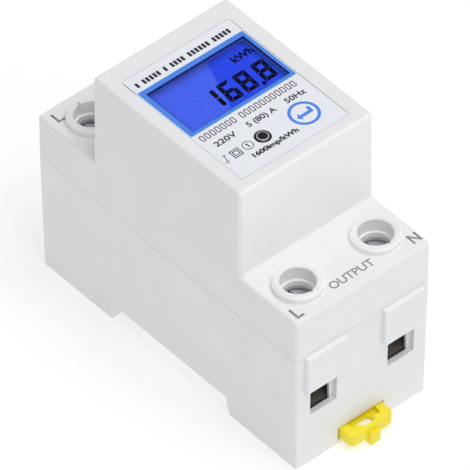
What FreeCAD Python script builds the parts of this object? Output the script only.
import FreeCAD, Part
import math
import os

import Sketcher

# Frame: X across the two modules, +Y towards the input terminals, +Z out of the wall.
# The origin is on the rail seat, at the middle of the rail, so the feet reach below zero.

SIZES = {
    # outer shell
    "body_width": 36.0,
    "body_length": 80.0,
    "display_share": 0.565,
    "joint_height": 27.1,
    "joint_bevel": 0.12,
    "deck_height": 38.0,
    "display_height": 61.4,
    "foot_drop": 4.65,
    "base_inset": 0.65,
    "display_draft": 0.5,
    "block_skirt": 0.5,
    "corner_radius": 1.0,
    "edge_radius": 0.75,
    "foot_edge_radius": 0.3,
    "side_wall": 2.0,
    "block_play": 0.2,
    "deck_wall": 2.0,
    "floor_wall": 2.2,
    # rail recess: a straight stop on the input side, a flared one on the output side
    "rail_stop_in": 18.15,
    "rail_stop_out": 17.95,
    "recess_step": 1.5,
    "recess_flare": 1.75,
    "hook_reach": 1.2,
    "hook_gap": 1.3,
    "hook_thickness": 1.9,
    "hook_width": 7.0,
    "hook_spread": 9.0,
    # terminals
    "terminal_share": 0.29,
    "terminal_inset": 8.2,
    "entry_width": 7.14,
    "entry_low": 9.35,
    "entry_high": 17.5,
    "entry_step": 0.85,
    "entry_step_depth": 1.65,
    "entry_sill_drop": 1.3,
    "hood_width": 10.7,
    "hood_proud": 1.1,
    "hood_root": 2.0,
    "hood_edge_radius": 0.4,
    "chamber_width": 10.2,
    "chamber_margin": 1.7,
    "chamber_floor": 6.9,
    "middle_width": 6.8,
    "collar_radius": 5.3,
    "collar_height": 1.7,
    "collar_bevel": 0.45,
    "collar_lip_bevel": 0.25,
    "well_radius": 3.8,
    "well_depth": 3.6,
    "well_ledge_radius": 3.4,
    "well_ledge_height": 1.3,
    "well_guide_radius": 3.25,
    "well_guide_low": 34.1,
    "well_tube_wall": 1.4,
    "well_notch_width": 1.6,
    "well_notch_reach": 0.75,
    # clamp cages, their screws and the conductors
    "bar_low": 17.8,
    "bar_thickness": 1.5,
    "bar_width": 5.5,
    "bar_reach": 4.4,
    "bar_slot_play": 0.25,
    "shunt_length": 8.0,
    "cage_window": 7.3,
    "cage_wall": 1.2,
    "cage_depth": 11.4,
    "cage_play": 0.3,
    "cage_floor": 1.8,
    "cage_floor_gap": 0.6,
    "cage_roof": 2.6,
    "cage_roof_gap": 0.7,
    "cage_edge_radius": 0.8,
    "thread_radius": 2.45,
    "thread_play": 0.05,
    "screw_tip_gap": 0.05,
    "screw_head_radius": 3.4,
    "screw_head_height": 2.5,
    "screw_head_gap": 0.3,
    "screw_slot_width": 1.1,
    "screw_slot_depth": 1.3,
    "screw_cross_reach": 1.9,
    # case screws in the rail recess
    "case_screw_along": 14.6,
    "tower_radius": 3.6,
    "case_head_radius": 2.7,
    "case_head_height": 2.0,
    "case_head_play": 0.2,
    "case_seat": 22.0,
    "case_shank_radius": 1.45,
    "case_shank_length": 14.0,
    "case_pilot_play": 0.05,
    "case_hole_play": 0.25,
    "post_radius": 3.2,
    "post_high": 44.0,
    "post_rib_width": 2.0,
    # display opening, label and what lies under them
    "label_margin": 3.95,
    "label_margin_back": 5.75,
    "label_margin_front": 3.75,
    "label_corner_back": 2.0,
    "label_corner_front": 0.4,
    "label_recess": 0.35,
    "label_play": 0.05,
    "film_thickness": 0.25,
    "window_margin": 1.15,
    "window_margin_back": 5.25,
    "window_front": 2.7,
    "lens_lap": 0.4,
    "lens_thickness": 0.6,
    "ceiling_wall": 2.0,
    "pulse_across": 3.3,
    "pulse_inset": 5.95,
    "pulse_radius": 1.8,
    "pulse_flange": 2.4,
    "pulse_flange_height": 0.8,
    "pulse_dome": 0.45,
    "pulse_hole_play": 0.1,
    "key_inset_across": 6.85,
    "key_inset": 5.45,
    "key_radius": 1.7,
    "key_play": 0.1,
    "key_body": 6.0,
    "key_body_height": 3.5,
    "key_stem_depth": 0.8,
    "key_stem_under": 0.4,
    "board_thickness": 1.6,
    "display_board_low": 51.5,
    "display_board_play": 0.4,
    "standoff_inset_across": 2.6,
    "standoff_inset": 3.0,
    "standoff_radius": 2.0,
    "board_screw_radius": 0.95,
    "board_screw_play": 0.1,
    "board_screw_length": 5.5,
    "board_screw_head_radius": 1.9,
    "board_screw_head_height": 1.2,
    "glass_side_border": 1.7,
    "glass_border": 2.4,
    "glass_thickness": 1.5,
    "glass_gap": 0.3,
    "glass_step_play": 0.12,
    "backlight_inset": 0.6,
    # upright board and its parts
    "main_board_share": 0.498,
    "main_board_play": 1.0,
    "main_board_low": 8.0,
    "header_height": 2.9,
    "header_length": 20.0,
    "header_width": 2.5,
    "guide_width": 4.4,
    "guide_length": 3.1,
    "guide_high": 15.0,
    "guide_play": 0.1,
    "sense_pin_radius": 0.5,
    "sense_pin_spacing": 5.0,
    "chip_along": 5.5,
    "chip_height": 25.0,
    "chip_side": 7.5,
    "chip_thickness": 1.7,
    "driver_side": 10.0,
    "driver_across": 7.0,
    "driver_along": 2.0,
    "dropper_length": 18.0,
    "dropper_depth": 8.5,
    "dropper_low": 33.3,
    "dropper_height": 14.5,
    "smoother_along": 4.6,
    "smoother_height": 25.0,
    "smoother_radius": 4.0,
    "smoother_length": 11.0,
    "varistor_height": 13.8,
    "varistor_radius": 5.0,
    "varistor_thickness": 4.0,
    # rail clip and spring
    "clip_width": 11.7,
    "clip_thickness": 3.0,
    "clip_play": 0.25,
    "clip_side_play": 0.3,
    "clip_overhang": 3.25,
    "clip_corner": 1.4,
    "clip_edge_radius": 0.35,
    "clip_nose": 1.05,
    "clip_nose_tip": 0.7,
    "clip_lip_width": 8.8,
    "clip_lip_height": 1.2,
    "clip_tab_width": 2.7,
    "clip_tab_proud": 0.95,
    "clip_tab_depth": 0.8,
    "clip_tab_rise": 3.0,
    "clip_tab_gap": 0.1,
    "clip_slot_length": 3.8,
    "clip_slot_width": 2.8,
    "clip_slot_rim": 0.95,
    "clip_slot_corner": 1.2,
    "clip_pocket_length": 7.6,
    "clip_pocket_rim": 1.95,
    "clip_pocket_inset": 4.65,
    "clip_pocket_depth": 1.0,
    "clip_pocket_corner": 0.6,
    "clip_window_width": 3.2,
    "clip_window_inset": 6.65,
    "clip_window_near": 24.4,
    "stop_length": 1.4,
    "stop_gap": 0.2,
    "stop_width": 2.6,
    "stop_drop": 2.8,
    "spring_reach": 1.2,
    "spring_strip": 0.35,
    "spring_height": 2.0,
    "spring_pitch": 1.71,
    "spring_end_gap": 0.05,
}

# Sizes that follow the case when it is made longer or wider
FITTED = {
    "display_length": "body_length * display_share",
    "terminal_across": "body_width * terminal_share",
    "terminal_along": "body_length / 2 - terminal_inset",
    "chamber_inner": "terminal_along - cage_depth / 2 - chamber_margin",
    "chamber_outer": "terminal_along + cage_depth / 2 + cage_play",
    "bar_end": "terminal_along + bar_reach",
    "label_width": "body_width - 2 * label_margin",
    "label_back": "display_length / 2 - label_margin_back",
    "label_front": "display_length / 2 - label_margin_front",
    "window_width": "label_width - 2 * window_margin",
    "window_back": "label_back - window_margin_back",
    "glass_width": "window_width + 2 * glass_side_border",
    "pulse_along": "label_front - pulse_inset",
    "key_across": "label_width / 2 - key_inset_across",
    "key_along": "label_front - key_inset",
    "inner_across": "body_width / 2 - side_wall",
    "block_across": "inner_across - block_play",
    "block_along": "display_length / 2 - side_wall",
    "standoff_across": "block_across - standoff_inset_across",
    "standoff_along": "block_along - standoff_inset",
    "main_board_face": "terminal_across * main_board_share",
    "main_board_length": "2 * block_along - 2 * main_board_play",
    "clip_end": "body_length / 2 + clip_overhang",
    "clip_tab_end": "clip_end + clip_tab_proud",
    "clip_tab_root": "clip_end - clip_tab_depth",
    "clip_pocket_root": "clip_end - clip_pocket_inset",
    "clip_window_far": "clip_end - clip_window_inset",
}

doc = FreeCAD.newDocument("rail_meter")
size = doc.addObject("Spreadsheet::Sheet", "size")
cells = list(SIZES.items()) + [(alias, "=" + formula) for alias, formula in FITTED.items()]
for row, (alias, content) in enumerate(cells, start=1):
    size.set(f"A{row}", alias)
    size.set(f"B{row}", str(content))
    size.setAlias(f"B{row}", alias)
doc.recompute()


# Expressions over the sheet
def s(text):
    """Turns plain alias names into references to the sheet."""
    words = []
    for word in text.replace("(", "( ").replace(")", " )").split():
        words.append("size." + word if word in SIZES or word in FITTED else word)
    return " ".join(words)


def value(text):
    found = size.evalExpression(s(text))
    return float(getattr(found, "Value", found))


DISPLAY_FLOOR = "display_height - label_recess"
CEILING = "display_height - ceiling_wall"
BOARD_TOP = "display_board_low + board_thickness"
GLASS_LOW = "display_height - ceiling_wall - glass_gap - glass_thickness"
BAR_TOP = "bar_low + bar_thickness"
CAGE_ROOF_LOW = "bar_low + bar_thickness + cage_roof_gap"
CAGE_FLOOR_LOW = "chamber_floor + cage_floor_gap"
HEAD_TOP = "well_guide_low - screw_head_gap"
HEAD_LOW = "well_guide_low - screw_head_gap - screw_head_height"
CLIP_TOP = "0 - clip_play"
CLIP_LOW = "0 - clip_play - clip_thickness"
MAIN_BACK = "0 - main_board_face - board_thickness"
HEADER_LOW = "display_board_low - header_height"


# Part design helpers
def new_body(label):
    made = doc.addObject("PartDesign::Body", label)
    made.Label = label
    return made


def origin_plane(body, role):
    return next(item for item in body.Origin.OriginFeatures if item.Role == role)


def new_sketch(body, name, role, offset="0"):
    """A sketch on one of the body's own planes, moved along its normal by an expression."""
    made = body.newObject("Sketcher::SketchObject", name)
    made.AttachmentSupport = [(origin_plane(body, role), "")]
    made.MapMode = "FlatFace"
    made.setExpression("AttachmentOffset.Base.z", s(offset))
    return made


def fix_point(sketch, geo, end, across, up):
    for kind, text in (("DistanceX", across), ("DistanceY", up)):
        index = sketch.addConstraint(Sketcher.Constraint(kind, -1, 1, geo, end, value(text)))
        sketch.setExpression(f"Constraints[{index}]", s(text))


def polygon(sketch, corners):
    """A closed outline through corners, each given by two expressions."""
    points = [FreeCAD.Vector(value(a), value(b), 0) for a, b in corners]
    first = sketch.GeometryCount
    count = len(points)
    for i in range(count):
        sketch.addGeometry(Part.LineSegment(points[i], points[(i + 1) % count]), False)
    for i in range(count):
        after = first + (i + 1) % count
        sketch.addConstraint(Sketcher.Constraint("Coincident", first + i, 2, after, 1))
    for i, (a, b) in enumerate(corners):
        fix_point(sketch, first + i, 1, a, b)


def rectangle(sketch, left, right, low, high):
    polygon(sketch, [(left, low), (right, low), (right, high), (left, high)])


def arc(sketch, centre, radius, start_angle):
    """A quarter circle about a centre given by two expressions; its ends are tied to lines later."""
    middle = FreeCAD.Vector(value(centre[0]), value(centre[1]), 0)
    whole = Part.Circle(middle, FreeCAD.Vector(0, 0, 1), value(radius))
    curve = Part.ArcOfCircle(whole, math.radians(start_angle), math.radians(start_angle + 90))
    return sketch.addGeometry(curve, False)


def soft_rectangle(sketch, left, right, low, high, radius, high_radius=None):
    """A rectangle with rounded corners, every point of it tied to the sheet."""
    upper = high_radius or radius
    ends = [
        ((f"{left} + {radius}", low), (f"{right} - {radius}", low)),
        ((right, f"{low} + {radius}"), (right, f"{high} - {upper}")),
        ((f"{right} - {upper}", high), (f"{left} + {upper}", high)),
        ((left, f"{high} - {upper}"), (left, f"{low} + {radius}")),
    ]
    corners = [
        (f"{right} - {radius}", f"{low} + {radius}", radius),
        (f"{right} - {upper}", f"{high} - {upper}", upper),
        (f"{left} + {upper}", f"{high} - {upper}", upper),
        (f"{left} + {radius}", f"{low} + {radius}", radius),
    ]
    lines = []
    for start, stop in ends:
        points = [FreeCAD.Vector(value(a), value(b), 0) for a, b in (start, stop)]
        lines.append(sketch.addGeometry(Part.LineSegment(*points), False))
    for number, (across, up, amount) in enumerate(corners):
        quarter = arc(sketch, (across, up), amount, 90 * number - 90)
        sketch.addConstraint(Sketcher.Constraint("Coincident", lines[number], 2, quarter, 1))
        following = lines[(number + 1) % 4]
        sketch.addConstraint(Sketcher.Constraint("Coincident", quarter, 2, following, 1))
        index = sketch.addConstraint(
            Sketcher.Constraint("DistanceX", -1, 1, quarter, 3, value(across)))
        sketch.setExpression(f"Constraints[{index}]", s(across))
    for line, (start, stop) in zip(lines, ends):
        fix_point(sketch, line, 1, *start)
        fix_point(sketch, line, 2, *stop)


def circle(sketch, across, up, radius):
    centre = FreeCAD.Vector(value(across), value(up), 0)
    geo = sketch.addGeometry(Part.Circle(centre, FreeCAD.Vector(0, 0, 1), value(radius)), False)
    fix_point(sketch, geo, 3, across, up)
    index = sketch.addConstraint(Sketcher.Constraint("Radius", geo, value(radius)))
    sketch.setExpression(f"Constraints[{index}]", s(radius))


def settle(body, feature):
    """Makes a feature the body's last one and stops at once if it could not be made."""
    body.Tip = feature
    doc.recompute()
    if "Invalid" in feature.State or feature.Shape.isNull():
        raise RuntimeError(f"{body.Label}: {feature.Name} failed, {feature.State}")
    return feature


def pad(body, name, sketch, length, reverse=False, middle=False, taper="0"):
    made = body.newObject("PartDesign::Pad", name)
    made.Profile = sketch
    made.setExpression("Length", s(length))
    made.Reversed = reverse
    made.Midplane = middle
    made.setExpression("TaperAngle", s(taper))
    return settle(body, made)


def pocket(body, name, sketch, length, reverse=False, middle=False):
    """Cuts along the sketch's normal, away from it when reversed, and checks that it cut."""
    before = body.Shape.Volume
    made = body.newObject("PartDesign::Pocket", name)
    made.Profile = sketch
    made.setExpression("Length", s(length))
    made.Reversed = not reverse
    made.Midplane = middle
    settle(body, made)
    if body.Shape.Volume >= before - 1e-6:
        raise RuntimeError(f"{name} cuts nothing")
    return made


def mirror(body, name, features, role):
    made = body.newObject("PartDesign::Mirrored", name)
    made.Originals = features
    made.MirrorPlane = (origin_plane(body, role), [""])
    return settle(body, made)


def edges_of(feature, wanted):
    """The names of a feature's edges that pass a test on the edge's box and length."""
    found = []
    for number, edge in enumerate(feature.Shape.Edges, start=1):
        if wanted(edge.BoundBox):
            found.append(f"Edge{number}")
    return found


def rounded(body, name, feature, wanted, radius):
    made = body.newObject("PartDesign::Fillet", name)
    made.Base = (feature, edges_of(feature, wanted))
    made.setExpression("Radius", s(radius))
    return settle(body, made)


def bevelled(body, name, feature, wanted, amount):
    made = body.newObject("PartDesign::Chamfer", name)
    made.Base = (feature, edges_of(feature, wanted))
    made.setExpression("Size", s(amount))
    return settle(body, made)


def near(a, b, slack=0.02):
    return abs(a - b) < slack


def level_at(height):
    return lambda box: near(box.ZMin, height) and near(box.ZMax, height)


# Plain solids bound to the sheet
def block(name, low, high):
    made = doc.addObject("Part::Box", name)
    made.Label = name
    for axis, side, a, b in zip("xyz", ("Length", "Width", "Height"), low, high):
        made.setExpression(side, s(f"( {b} ) - ( {a} )"))
        made.setExpression(f"Placement.Base.{axis}", s(a))
    return made


def rod(name, across, along, low, high, radius):
    made = doc.addObject("Part::Cylinder", name)
    made.Label = name
    made.setExpression("Radius", s(radius))
    made.setExpression("Height", s(f"( {high} ) - ( {low} )"))
    for axis, text in zip("xyz", (across, along, low)):
        made.setExpression(f"Placement.Base.{axis}", s(text))
    return made


def lying_rod(name, start, along, height, length, radius):
    """A cylinder whose axis runs along +X from start."""
    made = doc.addObject("Part::Cylinder", name)
    made.Label = name
    made.setExpression("Radius", s(radius))
    made.setExpression("Height", s(length))
    made.Placement.Rotation = FreeCAD.Rotation(FreeCAD.Vector(0, 1, 0), 90)
    for axis, text in zip("xyz", (start, along, height)):
        made.setExpression(f"Placement.Base.{axis}", s(text))
    return made


def cut(name, base, tools):
    made = doc.addObject("Part::Cut", name)
    made.Base = base
    made.Tool = tools[0] if len(tools) == 1 else fuse(name + "_cutters", tools)
    made.Label = name
    return made


def fuse(name, pieces):
    made = doc.addObject("Part::MultiFuse", name)
    made.Shapes = pieces
    made.Label = name
    return made


def soften(name, base, wanted, radius):
    doc.recompute()
    made = doc.addObject("Part::Fillet", name)
    made.Base = base
    amount = value(radius)
    numbers = [int(edge[4:]) for edge in edges_of(base, wanted)]
    made.Edges = [(number, amount, amount) for number in numbers]
    made.Label = name
    return made


# The four terminals: name, side of X, side of Y
TERMINALS = (
    ("line_in", "0 - 1", "1"),
    ("line_out", "0 - 1", "0 - 1"),
    ("neutral_in", "1", "1"),
    ("neutral_out", "1", "0 - 1"),
)


def terminal_centre(side_x, side_y):
    return f"( {side_x} ) * terminal_across", f"( {side_y} ) * terminal_along"


# Cover: deck slab, drafted display block, screw collars, then hollowed and fitted out
def make_cover():
    body = new_body("cover")
    outline = new_sketch(body, "deck_outline", "XY_Plane", "joint_height")
    soft_rectangle(outline, "0 - body_width / 2", "body_width / 2",
                   "0 - body_length / 2", "body_length / 2", "corner_radius")
    slab = pad(body, "deck_slab", outline, "deck_height - joint_height")

    deck = value("deck_height")
    rims = rounded(body, "deck_rims", slab, level_at(deck), "edge_radius")
    bevelled(body, "parting_bevel", rims, level_at(value("joint_height")), "joint_bevel")

    for name, start, height, taper in (
        ("block_foot", "deck_height - deck_wall", "deck_wall", "0"),
        ("display_block", "deck_height", "display_height - deck_height", "0 - display_draft"),
    ):
        outline = new_sketch(body, name + "_outline", "XY_Plane", start)
        soft_rectangle(outline, "0 - body_width / 2", "body_width / 2",
                       "0 - display_length / 2", "display_length / 2", "corner_radius")
        tall = pad(body, name, outline, height, taper=taper)
    top = value("display_height")
    rounded(body, "top_rims", tall, level_at(top), "edge_radius")
    outline = new_sketch(body, "skirt_outline", "XY_Plane", "deck_height")
    soft_rectangle(outline, "edge_radius - body_width / 2", "body_width / 2 - edge_radius",
                   "0 - display_length / 2 - block_skirt", "display_length / 2 + block_skirt",
                   "block_skirt / 2")
    pad(body, "block_skirts", outline, "block_skirt", taper="0 - 45")

    sketch = new_sketch(body, "collar_rings", "XY_Plane", "deck_height")
    for _, side_x, side_y in TERMINALS:
        circle(sketch, *terminal_centre(side_x, side_y), "collar_radius")
    collars = pad(body, "collars", sketch, "collar_height")
    crest = value("deck_height + collar_height")
    bevelled(body, "collar_crests", collars, level_at(crest), "collar_bevel")

    sketch = new_sketch(body, "lower_cavity", "XY_Plane", "joint_height")
    rectangle(sketch, "0 - inner_across", "inner_across",
              "side_wall - body_length / 2", "body_length / 2 - side_wall")
    pocket(body, "lower_hollow", sketch, "deck_height - joint_height - deck_wall", reverse=False)
    sketch = new_sketch(body, "upper_cavity", "XY_Plane", "joint_height")
    rectangle(sketch, "0 - block_across", "block_across", "0 - block_along", "block_along")
    pocket(body, "upper_hollow", sketch, f"{CEILING} - joint_height", reverse=False)

    sketch = new_sketch(body, "tube_outlines", "XY_Plane", "well_guide_low")
    for _, side_x, side_y in TERMINALS:
        circle(sketch, *terminal_centre(side_x, side_y), "well_guide_radius + well_tube_wall")
    pad(body, "well_tubes", sketch, "deck_height - deck_wall - well_guide_low")
    for name, top_text, depth, radius in (
        ("well_mouths", "deck_height + collar_height", "well_depth", "well_radius"),
        ("well_ledges", "deck_height + collar_height - well_depth", "well_ledge_height",
         "well_ledge_radius"),
        ("well_guides", "deck_height + collar_height - well_depth - well_ledge_height",
         "deck_height + collar_height - well_depth - well_ledge_height - well_guide_low",
         "well_guide_radius"),
    ):
        sketch = new_sketch(body, name + "_circles", "XY_Plane", top_text)
        for _, side_x, side_y in TERMINALS:
            circle(sketch, *terminal_centre(side_x, side_y), radius)
        pocket(body, name, sketch, depth, reverse=True)
    widest = value("2 * well_radius") + 0.1
    bevelled(body, "well_lips", body.Tip,
             lambda box: level_at(crest)(box) and box.XLength < widest, "collar_lip_bevel")
    sketch = new_sketch(body, "notch_outlines", "XY_Plane", "deck_height + collar_height")
    for _, side_x, side_y in TERMINALS:
        across, along = terminal_centre(side_x, side_y)
        root = f"{along} + ( {side_y} ) * ( well_radius - well_notch_reach )"
        tip = f"{along} + ( {side_y} ) * ( well_radius + well_notch_reach )"
        polygon(sketch, [(f"{across} - well_notch_width / 2", root),
                         (f"{across} + well_notch_width / 2", root), (across, tip)])
    pocket(body, "well_notches", sketch, "well_depth", reverse=True)

    sketch = new_sketch(body, "post_outlines", "XY_Plane", "joint_height")
    for side in ("1", "0 - 1"):
        circle(sketch, "0", f"( {side} ) * case_screw_along", "post_radius")
    pad(body, "case_posts", sketch, "post_high - joint_height")
    sketch = new_sketch(body, "post_rib_outlines", "XY_Plane", "deck_height - deck_wall")
    for side in ("1", "0 - 1"):
        near_end = f"( {side} ) * ( case_screw_along + post_radius / 2 )"
        far_end = f"( {side} ) * ( block_along + side_wall / 2 )"
        rectangle(sketch, "0 - post_rib_width / 2", "post_rib_width / 2", near_end, far_end)
    pad(body, "post_ribs", sketch, "post_high - deck_height + deck_wall")
    sketch = new_sketch(body, "post_pilots", "XY_Plane", "joint_height")
    for side in ("1", "0 - 1"):
        circle(sketch, "0", f"( {side} ) * case_screw_along", "case_shank_radius + case_pilot_play")
    pocket(body, "pilot_holes", sketch,
           "case_seat + case_shank_length + side_wall - joint_height", reverse=False)

    sketch = new_sketch(body, "standoff_outlines", "XY_Plane", BOARD_TOP)
    for side_x in ("1", "0 - 1"):
        for side_y in ("1", "0 - 1"):
            circle(sketch, f"( {side_x} ) * standoff_across", f"( {side_y} ) * standoff_along",
                   "standoff_radius")
    pad(body, "standoffs", sketch, f"{CEILING} - ( {BOARD_TOP} )")
    sketch = new_sketch(body, "standoff_pilots", "XY_Plane", BOARD_TOP)
    for side_x in ("1", "0 - 1"):
        for side_y in ("1", "0 - 1"):
            circle(sketch, f"( {side_x} ) * standoff_across", f"( {side_y} ) * standoff_along",
                   "board_screw_radius + board_screw_play")
    pocket(body, "standoff_holes", sketch, "board_screw_length - board_thickness + board_screw_play",
           reverse=False)

    sketch = new_sketch(body, "label_outline", "XY_Plane", "display_height")
    soft_rectangle(sketch, "0 - label_width / 2", "label_width / 2", "0 - label_front",
                   "label_back", "label_corner_front", "label_corner_back")
    pocket(body, "label_bed", sketch, "label_recess", reverse=True)
    sketch = new_sketch(body, "lens_outline", "XY_Plane", DISPLAY_FLOOR)
    rectangle(sketch, "0 - window_width / 2 - lens_lap", "window_width / 2 + lens_lap",
              "0 - window_front - lens_lap", "window_back + lens_lap")
    pocket(body, "lens_bed", sketch, "lens_thickness", reverse=True)
    sketch = new_sketch(body, "window_outline", "XY_Plane", DISPLAY_FLOOR)
    rectangle(sketch, "0 - window_width / 2", "window_width / 2", "0 - window_front", "window_back")
    pocket(body, "window_opening", sketch, "ceiling_wall", reverse=True)
    sketch = new_sketch(body, "small_holes", "XY_Plane", DISPLAY_FLOOR)
    circle(sketch, "0 - pulse_across", "0 - pulse_along", "pulse_radius + pulse_hole_play")
    circle(sketch, "key_across", "0 - key_along", "key_radius + key_play")
    pocket(body, "pulse_and_key_holes", sketch, "ceiling_wall", reverse=True)
    return body


# Base: drafted shell that carries the rail, the clip, the terminals and the upright board
def make_base():
    body = new_body("base")
    outline = new_sketch(body, "shell_outline", "XY_Plane", "joint_height")
    soft_rectangle(outline, "0 - body_width / 2", "body_width / 2",
                   "0 - body_length / 2", "body_length / 2", "corner_radius")
    shell = pad(body, "shell", outline, "joint_height + foot_drop", reverse=True,
                taper="-1 * atan( base_inset / ( joint_height + foot_drop ) )")
    floor = value("0 - foot_drop")
    rounded(body, "foot_edges", shell, level_at(floor), "foot_edge_radius")

    sketch = new_sketch(body, "hood_outlines", "XZ_Plane", "body_length / 2 + hood_proud")
    for side in ("1", "0 - 1"):
        centre = f"( {side} ) * terminal_across"
        rectangle(sketch, f"{centre} - hood_width / 2", f"{centre} + hood_width / 2",
                  "entry_high", "joint_height")
    hoods = pad(body, "hoods_out", sketch, "hood_proud + hood_root", reverse=True)
    face = value("0 - body_length / 2 - hood_proud")
    soft = rounded(
        body, "hood_edges_out", hoods,
        lambda box: near(box.YMin, face) and near(box.YMax, face)
        and box.ZMax > value("joint_height") - 0.1,
        "hood_edge_radius")
    mirror(body, "hoods_in", [hoods, soft], "XZ_Plane")

    sketch = new_sketch(body, "recess_outline", "YZ_Plane")
    polygon(sketch, [
        ("0 - rail_stop_out", "0"),
        ("0 - rail_stop_out", "0 - recess_step"),
        ("0 - rail_stop_out - recess_flare", "0 - foot_drop - side_wall"),
        ("rail_stop_in", "0 - foot_drop - side_wall"),
        ("rail_stop_in", "0"),
    ])
    pocket(body, "rail_recess", sketch, "body_width + side_wall", middle=True)

    sketch = new_sketch(body, "hook_outlines", "XY_Plane", "0 - hook_gap")
    for side in ("1", "0 - 1"):
        centre = f"( {side} ) * hook_spread"
        rectangle(sketch, f"{centre} - hook_width / 2", f"{centre} + hook_width / 2",
                  "rail_stop_in - hook_reach", "rail_stop_in + side_wall")
    hooks = pad(body, "rail_hooks", sketch, "hook_thickness", reverse=True)
    tip, under = value("rail_stop_in - hook_reach"), value("0 - hook_gap - hook_thickness")
    bevelled(body, "hook_leads", hooks,
             lambda box: near(box.YMin, tip) and near(box.YMax, tip) and level_at(under)(box),
             "hook_reach / 2")

    sketch = new_sketch(body, "channel_outline", "XY_Plane")
    rectangle(sketch, "0 - clip_width / 2 - clip_side_play", "clip_width / 2 + clip_side_play",
              "0 - body_length / 2 - side_wall", "0 - rail_stop_out + side_wall")
    pocket(body, "clip_channel", sketch, "foot_drop - clip_lip_height", reverse=True)
    sketch = new_sketch(body, "channel_mouth", "XY_Plane")
    rectangle(sketch, "0 - clip_lip_width / 2", "clip_lip_width / 2",
              "0 - body_length / 2 - side_wall", "0 - rail_stop_out + side_wall")
    pocket(body, "channel_gap", sketch, "foot_drop + side_wall", reverse=True)
    sketch = new_sketch(body, "stop_outline", "XY_Plane")
    rectangle(sketch, "0 - stop_width / 2", "stop_width / 2",
              "stop_gap - clip_window_far", "stop_gap + stop_length - clip_window_far")
    pad(body, "clip_stop", sketch, "stop_drop", reverse=True)

    sketch = new_sketch(body, "cavity_outline", "XY_Plane", "joint_height")
    rectangle(sketch, "0 - block_across", "block_across", "0 - block_along", "block_along")
    pocket(body, "cavity", sketch, "joint_height - floor_wall", reverse=True)
    sketch = new_sketch(body, "chamber_outlines", "XY_Plane", "joint_height")
    for _, side_x, side_y in TERMINALS:
        across, _ = terminal_centre(side_x, side_y)
        rectangle(sketch, f"{across} - chamber_width / 2", f"{across} + chamber_width / 2",
                  f"( {side_y} ) * chamber_inner", f"( {side_y} ) * chamber_outer")
    for side_y in ("1", "0 - 1"):
        rectangle(sketch, "0 - middle_width / 2", "middle_width / 2",
                  f"( {side_y} ) * chamber_inner", f"( {side_y} ) * chamber_outer")
    pocket(body, "chambers", sketch, "joint_height - chamber_floor", reverse=True)
    sketch = new_sketch(body, "bar_slot_outlines", "XY_Plane", "joint_height")
    for side in ("1", "0 - 1"):
        centre = f"( {side} ) * terminal_across"
        rectangle(sketch, f"{centre} - bar_width / 2 - bar_slot_play",
                  f"{centre} + bar_width / 2 + bar_slot_play",
                  "0 - chamber_inner - bar_slot_play", "chamber_inner + bar_slot_play")
    pocket(body, "bar_slots", sketch, "joint_height - bar_low", reverse=True)

    for name, narrower, lower, start, depth in (
        ("entry_mouths", "0", "0", "body_length / 2 + side_wall", "side_wall + entry_step_depth"),
        ("entry_throats", "entry_step", "entry_sill_drop", "body_length / 2 - entry_step_depth",
         "body_length / 2 - entry_step_depth - chamber_outer"),
    ):
        sketch = new_sketch(body, name + "_outlines", "XZ_Plane", start)
        for side in ("1", "0 - 1"):
            centre = f"( {side} ) * terminal_across"
            rectangle(sketch, f"{centre} - entry_width / 2 + {narrower}",
                      f"{centre} + entry_width / 2 - {narrower}", f"entry_low - {lower}", "entry_high")
        made = pocket(body, name + "_out", sketch, depth, reverse=True)
        mirror(body, name + "_in", [made], "XZ_Plane")

    sketch = new_sketch(body, "tower_outlines", "XY_Plane", "floor_wall / 2")
    for side in ("1", "0 - 1"):
        circle(sketch, "0", f"( {side} ) * case_screw_along", "tower_radius")
    pad(body, "case_towers", sketch, "joint_height - floor_wall / 2")
    sketch = new_sketch(body, "tower_holes", "XY_Plane")
    for side in ("1", "0 - 1"):
        circle(sketch, "0", f"( {side} ) * case_screw_along", "case_shank_radius + case_hole_play")
    pocket(body, "case_holes", sketch, "joint_height", reverse=False)
    sketch = new_sketch(body, "counterbore_outlines", "XY_Plane")
    for side in ("1", "0 - 1"):
        circle(sketch, "0", f"( {side} ) * case_screw_along", "case_head_radius + case_head_play")
    pocket(body, "case_counterbores", sketch, "case_seat", reverse=False)

    sketch = new_sketch(body, "guide_outlines", "XY_Plane", "floor_wall / 2")
    middle = "( 0 - main_board_face - board_thickness / 2 )"
    for side in ("1", "0 - 1"):
        rectangle(sketch, f"{middle} - guide_width / 2", f"{middle} + guide_width / 2",
                  f"( {side} ) * ( block_along - guide_length )",
                  f"( {side} ) * ( block_along + side_wall / 2 )")
    pad(body, "board_guides", sketch, "guide_high - floor_wall / 2")
    sketch = new_sketch(body, "guide_groove", "XY_Plane", "main_board_low")
    rectangle(sketch, f"{middle} - board_thickness / 2 - guide_play",
              f"{middle} + board_thickness / 2 + guide_play",
              "0 - main_board_length / 2 - guide_play", "main_board_length / 2 + guide_play")
    pocket(body, "guide_grooves", sketch, "guide_high - main_board_low", reverse=False)
    return body


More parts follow.
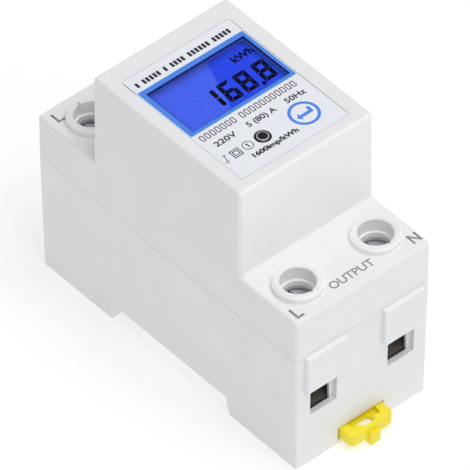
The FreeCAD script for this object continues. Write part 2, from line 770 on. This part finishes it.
# Rail clip: flat slider with a nose, pull slot, thumb tab and a window for its spring
def make_clip():
    body = new_body("rail_clip")
    sketch = new_sketch(body, "clip_profile", "YZ_Plane")
    root = "0 - rail_stop_out - clip_play"
    polygon(sketch, [
        ("0 - clip_end", CLIP_TOP),
        (root, CLIP_TOP),
        (root, "0 - hook_gap"),
        ("clip_nose - rail_stop_out", "0 - hook_gap"),
        ("clip_nose - rail_stop_out", "0 - hook_gap - clip_nose_tip"),
        (root, CLIP_LOW),
        ("0 - clip_end", CLIP_LOW),
    ])
    plate = pad(body, "clip_plate", sketch, "clip_width", middle=True)
    end = value("0 - clip_end")
    corners = rounded(body, "clip_corners", plate,
                      lambda box: near(box.YMin, end) and near(box.YMax, end) and box.XLength < 0.1,
                      "clip_corner")
    top, low, back = value(CLIP_TOP), value(CLIP_LOW), value(root)
    rounded(body, "clip_edges", corners,
            lambda box: (level_at(top)(box) or level_at(low)(box)) and box.YMin < back - 1.0,
            "clip_edge_radius")
    sketch = new_sketch(body, "tab_outline", "XY_Plane", "clip_tab_gap - foot_drop")
    rectangle(sketch, "0 - clip_tab_width / 2", "clip_tab_width / 2",
              "0 - clip_tab_end", "0 - clip_tab_root")
    tab = pad(body, "clip_tab", sketch, "clip_tab_rise")
    tip = value("0 - clip_tab_end")
    rounded(body, "tab_edges", tab,
            lambda box: near(box.YMin, tip) and near(box.YMax, tip) and box.XLength < 0.1,
            "clip_edge_radius")
    for name, level, under in (("clip_pocket", CLIP_TOP, True), ("clip_under_pocket", CLIP_LOW, False)):
        sketch = new_sketch(body, name + "_outline", "XY_Plane", level)
        soft_rectangle(sketch, "0 - clip_pocket_length / 2", "clip_pocket_length / 2",
                       "clip_pocket_rim - clip_end", "0 - clip_pocket_root", "clip_pocket_corner")
        pocket(body, name, sketch, "clip_pocket_depth", reverse=under)
    sketch = new_sketch(body, "slot_outline", "XY_Plane", CLIP_TOP)
    soft_rectangle(sketch, "0 - clip_slot_length / 2", "clip_slot_length / 2",
                   "clip_slot_rim - clip_end", "clip_slot_rim + clip_slot_width - clip_end",
                   "clip_slot_corner")
    pocket(body, "clip_slot", sketch, "clip_thickness", reverse=True)
    sketch = new_sketch(body, "spring_window", "XY_Plane", CLIP_TOP)
    rectangle(sketch, "0 - clip_window_width / 2", "clip_window_width / 2",
              "0 - clip_window_far", "0 - clip_window_near")
    pocket(body, "clip_window", sketch, "clip_thickness", reverse=True)
    return body


# Zigzag spring of flat strip, between the stop in the channel and the far end of the clip's window
def make_spring():
    thick, tall = value("spring_strip"), value("spring_height")
    first = value("stop_gap + stop_length - clip_window_far + spring_end_gap + spring_strip / 2")
    last = value("0 - clip_window_near - spring_end_gap - spring_strip / 2")
    legs = 2 * round((last - first) / value("2 * spring_pitch")) + 1
    pitch = (last - first) / (legs - 1)
    reach = value("spring_reach") - pitch / 2
    level = value("0 - clip_play - clip_thickness / 2")
    edges = []
    for leg in range(legs):
        along = first + leg * pitch
        side = 1 if leg % 2 == 0 else -1
        start = FreeCAD.Vector(-side * reach, along, level)
        stop = FreeCAD.Vector(side * reach, along, level)
        edges.append(Part.makeLine(start, stop))
        if leg < legs - 1:
            turn = FreeCAD.Vector(side * (reach + pitch / 2), along + pitch / 2, level)
            after = FreeCAD.Vector(side * reach, along + pitch, level)
            edges.append(Part.Arc(stop, turn, after).toShape())
    route = Part.Wire(edges)
    low, high = level - tall / 2, level + tall / 2
    corners = [FreeCAD.Vector(-reach, first + a, b)
               for a, b in ((-thick / 2, low), (thick / 2, low), (thick / 2, high), (-thick / 2, high))]
    profile = Part.makePolygon(corners + corners[:1])
    made = doc.addObject("Part::Feature", "clip_spring")
    made.Label = "clip_spring"
    made.Shape = route.makePipeShell([profile], True, True)
    return made


# Terminal screw: turned head with a slot crossed by a shorter one, plain where the thread runs
def make_screw(name, side_x, side_y):
    across, along = terminal_centre(side_x, side_y)
    label = "screw_" + name
    shank = rod(label + "_shank", across, along, f"{BAR_TOP} + screw_tip_gap", HEAD_LOW, "thread_radius")
    head = rod(label + "_head", across, along, HEAD_LOW, HEAD_TOP, "screw_head_radius")
    blank = fuse(label + "_blank", [shank, head])
    slots = []
    for tag, reach_x, reach_y in (
        ("long", "screw_slot_width / 2", "screw_head_radius + 1"),
        ("short", "screw_cross_reach", "screw_slot_width / 2"),
    ):
        slots.append(block(
            f"{label}_{tag}_slot",
            (f"{across} - ( {reach_x} )", f"{along} - ( {reach_y} )", f"{HEAD_TOP} - screw_slot_depth"),
            (f"{across} + ( {reach_x} )", f"{along} + ( {reach_y} )", f"{HEAD_TOP} + 1")))
    return cut(label, blank, slots)


# Clamp cage: bent steel box with a threaded roof, lifted by the screw
def make_cage(name, side_x, side_y):
    across, along = terminal_centre(side_x, side_y)
    label = "cage_" + name
    half = "( cage_window / 2 + cage_wall )"
    roof_top = f"{CAGE_ROOF_LOW} + cage_roof"
    outer = block(label + "_outer",
                  (f"{across} - {half}", f"{along} - cage_depth / 2", CAGE_FLOOR_LOW),
                  (f"{across} + {half}", f"{along} + cage_depth / 2", roof_top))
    hole = block(label + "_window",
                 (f"{across} - cage_window / 2", f"{along} - cage_depth", f"{CAGE_FLOOR_LOW} + cage_floor"),
                 (f"{across} + cage_window / 2", f"{along} + cage_depth", CAGE_ROOF_LOW))
    bore = rod(label + "_bore", across, along, f"{CAGE_ROOF_LOW} - 1", f"{roof_top} + 1",
               "thread_radius + thread_play")
    blank = cut(label + "_blank", outer, [hole, bore])
    doc.recompute()
    low, high = value(CAGE_FLOOR_LOW), value(roof_top)
    reach = value("cage_window / 2 + cage_wall")
    middle = value(across)
    return soften(
        label, blank,
        lambda box: (level_at(low)(box) or level_at(high)(box))
        and near(abs(box.XMin - middle), reach) and near(abs(box.XMax - middle), reach),
        "cage_edge_radius")


# Conductors: line bar in two lengths with the shunt between, neutral bar in one
def make_conductors():
    left, right = "0 - terminal_across", "terminal_across"

    def strip(name, centre, start, stop):
        return block(name, (f"{centre} - bar_width / 2", start, "bar_low"),
                     (f"{centre} + bar_width / 2", stop, BAR_TOP))

    made = [
        strip("line_bar_in", left, "shunt_length / 2", "bar_end"),
        strip("line_bar_out", left, "0 - bar_end", "0 - shunt_length / 2"),
        strip("neutral_bar", right, "0 - bar_end", "bar_end"),
    ]
    pieces = [strip("shunt_strip", left, "0 - shunt_length / 2", "shunt_length / 2")]
    start = f"{left} + bar_width / 2 - 0.5"
    for tag, side in (("in", "1"), ("out", "0 - 1")):
        pieces.append(lying_rod(
            f"shunt_pin_{tag}", start, f"( {side} ) * sense_pin_spacing / 2",
            "bar_low + bar_thickness / 2", f"( {MAIN_BACK} ) - ( {start} )", "sense_pin_radius"))
    made.append(fuse("shunt", pieces))
    return made


# Boards and what is soldered to them
def make_electronics():
    board_across = "block_across - display_board_play"
    board_along = "block_along - display_board_play"
    blank = block("display_board_blank",
                  (f"0 - ( {board_across} )", f"0 - ( {board_along} )", "display_board_low"),
                  (board_across, board_along, BOARD_TOP))
    holes = []
    screws = []
    for tag_x, side_x in (("right", "1"), ("left", "0 - 1")):
        for tag_y, side_y in (("back", "1"), ("front", "0 - 1")):
            place = (f"( {side_x} ) * standoff_across", f"( {side_y} ) * standoff_along")
            tag = f"{tag_x}_{tag_y}"
            holes.append(rod(f"board_hole_{tag}", *place, "display_board_low - 1", f"{BOARD_TOP} + 1",
                             "board_screw_radius + board_screw_play"))
            shank = rod(f"board_shank_{tag}", *place, "display_board_low",
                        "display_board_low + board_screw_length", "board_screw_radius")
            head = rod(f"board_head_{tag}", *place, "display_board_low - board_screw_head_height",
                       "display_board_low", "board_screw_head_radius")
            screws += [shank, head]
    made = [cut("display_board", blank, holes), fuse("board_screws", screws)]

    half = "main_board_length / 2"
    made.append(block("main_board", (MAIN_BACK, f"0 - {half}", "main_board_low"),
                      ("0 - main_board_face", half, HEADER_LOW)))
    middle = "( 0 - main_board_face - board_thickness / 2 )"
    made.append(block("board_connector",
                      (f"{middle} - header_width / 2", "0 - header_length / 2", HEADER_LOW),
                      (f"{middle} + header_width / 2", "header_length / 2", "display_board_low")))
    glass = ("glass_width / 2", "0 - window_front - glass_border", "window_back + glass_border")
    lower = block("lcd_back_glass", (f"0 - {glass[0]}", glass[1], GLASS_LOW),
                  (glass[0], glass[2], f"{GLASS_LOW} + glass_thickness"))
    upper = block("lcd_front_glass",
                  ("glass_step_play - window_width / 2", "glass_step_play - window_front",
                   f"{GLASS_LOW} + glass_thickness"),
                  ("window_width / 2 - glass_step_play", "window_back - glass_step_play",
                   f"{DISPLAY_FLOOR} - lens_thickness - label_play"))
    made.append(fuse("lcd_panel", [lower, upper]))
    made.append(block("lcd_backlight",
                      (f"backlight_inset - {glass[0]}", f"{glass[1]} + backlight_inset", BOARD_TOP),
                      (f"{glass[0]} - backlight_inset", f"{glass[2]} - backlight_inset", GLASS_LOW)))

    made.append(block("metering_chip",
                      ("0 - main_board_face",
                       "0 - chip_along - chip_side / 2",
                       "chip_height - chip_side / 2"),
                      ("chip_thickness - main_board_face", "chip_side / 2 - chip_along",
                       "chip_height + chip_side / 2")))
    made.append(block("display_controller",
                      ("driver_across - driver_side / 2", "driver_along - driver_side / 2",
                       "display_board_low - chip_thickness"),
                      ("driver_across + driver_side / 2", "driver_along + driver_side / 2",
                       "display_board_low")))
    dropper = block("dropper_blank", ("0 - main_board_face", "0 - dropper_length / 2", "dropper_low"),
                    ("dropper_depth - main_board_face", "dropper_length / 2", "dropper_low + dropper_height"))
    face = value("dropper_depth - main_board_face")
    made.append(soften("dropper_capacitor", dropper,
                       lambda box: near(box.XMin, face) and near(box.XMax, face), "edge_radius"))
    made.append(lying_rod("smoothing_capacitor", "0 - main_board_face", "smoother_along",
                          "smoother_height", "smoother_length", "smoother_radius"))
    made.append(lying_rod("surge_varistor", "0 - main_board_face", "0", "varistor_height",
                          "varistor_thickness", "varistor_radius"))
    return made


# Pulse light and key, both reaching up through the ceiling of the cover
def make_light_and_key():
    place = ("0 - pulse_across", "0 - pulse_along")
    gap = "0.2"
    led_top = f"{CEILING} - pulse_flange_height - {gap}"
    led = rod("pulse_led", *place, BOARD_TOP, led_top, "pulse_radius - pulse_hole_play")
    pipe = rod("pulse_pipe", *place, f"{CEILING} - pulse_flange_height",
               f"{DISPLAY_FLOOR} + film_thickness", "pulse_radius")
    flange = rod("pulse_rim", *place, f"{CEILING} - pulse_flange_height", CEILING, "pulse_flange")
    dome = doc.addObject("Part::Feature", "pulse_dome_cap")
    rise, radius = value("pulse_dome"), value("pulse_radius")
    sphere = (radius ** 2 + rise ** 2) / (2 * rise)
    top = value(f"{DISPLAY_FLOOR} + film_thickness")
    ball = Part.makeSphere(sphere, FreeCAD.Vector(0, 0, rise - sphere))
    dome.Shape = ball.common(Part.makeCylinder(radius, rise))
    dome.Placement.Base = FreeCAD.Vector(value(place[0]), value(place[1]), top)
    lens = fuse("pulse_lens", [pipe, flange, dome])

    place = ("key_across", "0 - key_along")
    housing = block("key_housing",
                    (f"{place[0]} - key_body / 2", f"{place[1]} - key_body / 2", BOARD_TOP),
                    (f"{place[0]} + key_body / 2", f"{place[1]} + key_body / 2",
                     f"{BOARD_TOP} + key_body_height"))
    well_low = f"{BOARD_TOP} + key_body_height - key_stem_depth"
    well = rod("key_well", *place, f"{well_low} - key_stem_under", f"{BOARD_TOP} + key_body_height + 1",
               "key_radius + key_play")
    switch = cut("key_switch", housing, [well])
    stem = rod("key_stem", *place, well_low, f"{DISPLAY_FLOOR} - key_play", "key_radius")
    return [led, lens, switch, stem]


# Label film and clear window
def make_front():
    left, right = "label_play - label_width / 2", "label_width / 2 - label_play"
    low, high = "label_play - label_front", "label_back - label_play"
    top = f"{DISPLAY_FLOOR} + film_thickness"
    blank = block("film_blank", (left, low, DISPLAY_FLOOR), (right, high, top))
    middle = value("label_back - label_front")
    film = blank
    for name, side, radius in (("film_back", 1, "label_corner_back - label_play"),
                               ("film_front", -1, "label_corner_front - label_play")):
        film = soften(name, film,
                      lambda box, side=side: box.XLength < 0.1 and box.YLength < 0.1
                      and side * (box.YMin - middle) > 0, radius)
    hole = block("film_window", ("0 - window_width / 2", "0 - window_front", f"{DISPLAY_FLOOR} - 1"),
                 ("window_width / 2", "window_back", f"{top} + 1"))
    spot = rod("film_spot", "0 - pulse_across", "0 - pulse_along", f"{DISPLAY_FLOOR} - 1", f"{top} + 1",
               "pulse_radius + label_play")
    faceplate = cut("faceplate", film, [hole, spot])
    inset = "( lens_lap - label_play )"
    window = block("display_window",
                   (f"0 - window_width / 2 - {inset}", f"0 - window_front - {inset}",
                    f"{DISPLAY_FLOOR} - lens_thickness"),
                   (f"window_width / 2 + {inset}", f"window_back + {inset}", DISPLAY_FLOOR))
    return [faceplate, window]


# Case screws, driven from the rail recess into the cover's posts
def make_case_screws():
    pieces = []
    for tag, side in (("in", "1"), ("out", "0 - 1")):
        place = ("0", f"( {side} ) * case_screw_along")
        head = rod(f"case_head_{tag}", *place, "case_seat - case_head_height", "case_seat",
                   "case_head_radius")
        shank = rod(f"case_shank_{tag}", *place, "case_seat", "case_seat + case_shank_length",
                    "case_shank_radius")
        whole = fuse(f"case_screw_{tag}_blank", [head, shank])
        slot = block(f"case_slot_{tag}",
                     ("0 - screw_slot_width / 2", f"{place[1]} - case_head_radius - 1",
                      "case_seat - case_head_height - 1"),
                     ("screw_slot_width / 2", f"{place[1]} + case_head_radius + 1",
                      "case_seat - case_head_height / 2"))
        pieces.append(cut(f"case_screw_{tag}", whole, [slot]))
    return fuse("case_screws", pieces)


nodes = [make_cover(), make_base(), make_clip(), make_spring()]
for terminal in TERMINALS:
    nodes.append(make_screw(*terminal))
    nodes.append(make_cage(*terminal))
nodes += make_conductors()
nodes += make_electronics()
nodes += make_light_and_key()
nodes += make_front()
nodes.append(make_case_screws())
doc.recompute()

for item in doc.Objects:
    if "Invalid" in item.State or "Error" in item.State:
        raise RuntimeError(f"{item.Name} failed: {item.State}")
os.makedirs("parts", exist_ok=True)
for node in nodes:
    shape = node.Shape
    if shape.isNull() or not shape.isValid():
        raise RuntimeError(f"{node.Label} has no valid shape")
    shape.exportStep(os.path.join("parts", node.Label + ".step"))
    box = shape.BoundBox
    print(f"{node.Label}: {len(shape.Solids)} solids, {shape.Volume:.1f} mm3, "
          f"x {box.XMin:.2f} {box.XMax:.2f}, y {box.YMin:.2f} {box.YMax:.2f}, "
          f"z {box.ZMin:.2f} {box.ZMax:.2f}")
